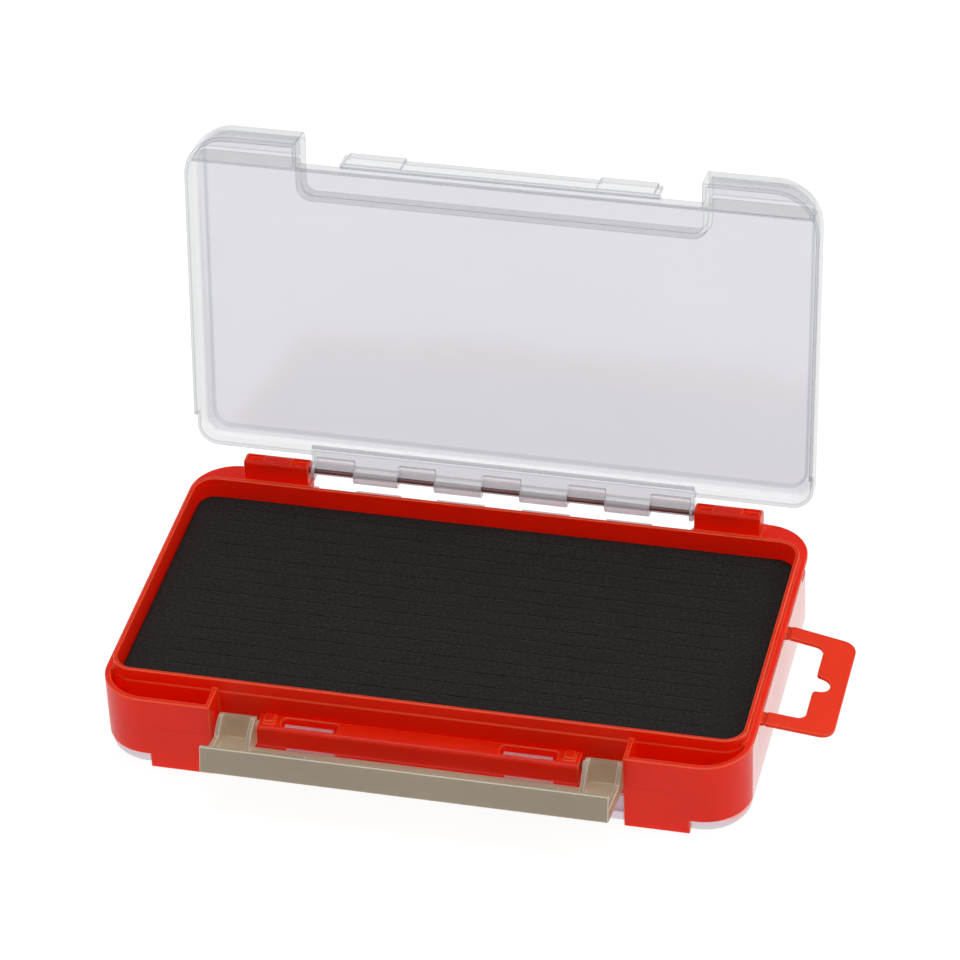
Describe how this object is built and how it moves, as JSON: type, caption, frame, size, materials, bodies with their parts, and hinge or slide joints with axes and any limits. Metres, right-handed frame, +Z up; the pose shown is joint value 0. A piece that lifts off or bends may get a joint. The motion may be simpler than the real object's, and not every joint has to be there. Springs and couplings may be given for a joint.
{
  "type": "lure box",
  "caption": "Slim double-sided tackle case with a foam-lined tray, a clear lid on each side, a swing latch and a folding hang tab.",
  "frame": {"origin": "centre of the base, on the plane that the case stands on", "axes": "+X to the right along the case's length, towards the hang tab; +Y to the back, towards the hinges; +Z up, through the tray and the upper lid"},
  "size_m": [0.1943, 0.1367, 0.1275],
  "materials": {
    "frame_plastic": "orange-red moulded plastic, satin gloss",
    "clear_plastic": "clear moulded plastic with a faint lavender tint",
    "latch_plastic": "warm grey-beige moulded plastic, satin",
    "foam": "matte charcoal closed-cell foam with short slits",
    "steel": "drawn wire, plain"
  },
  "bodies": {
    "frame": {"tray_frame": "frame_plastic", "upper_foam": "foam", "lower_foam": "foam", "upper_hinge_rod": "steel", "lower_hinge_rod": "steel", "latch_pin_left": "steel", "latch_pin_right": "steel"},
    "upper_lid": {"upper_lid": "clear_plastic"},
    "lower_lid": {"lower_lid": "clear_plastic"},
    "latch": {"latch": "latch_plastic"},
    "hang_tab": {"hang_tab": "frame_plastic"}
  },
  "joints": [
    {"name": "upper_lid_hinge", "type": "hinge", "parent": "frame", "child": "upper_lid", "pos_m": [0, 0.0494, 0.0261], "axis": [1, 0, 0], "range_deg": [0, 97.7]},
    {"name": "lower_lid_hinge", "type": "hinge", "parent": "frame", "child": "lower_lid", "pos_m": [0, 0.0494, 0.0177], "axis": [1, 0, 0], "range_deg": [0, 97.7]},
    {"name": "latch_hinge", "type": "hinge", "parent": "frame", "child": "latch", "pos_m": [0, -0.04715, 0.01414], "axis": [1, 0, 0], "range_deg": [-78, 0]},
    {"name": "hang_tab_fold", "type": "hinge", "parent": "frame", "child": "hang_tab", "pos_m": [0.08935, -0.0107, 0.0219], "axis": [0, 1, 0], "range_deg": [-9, 81]}
  ]
}
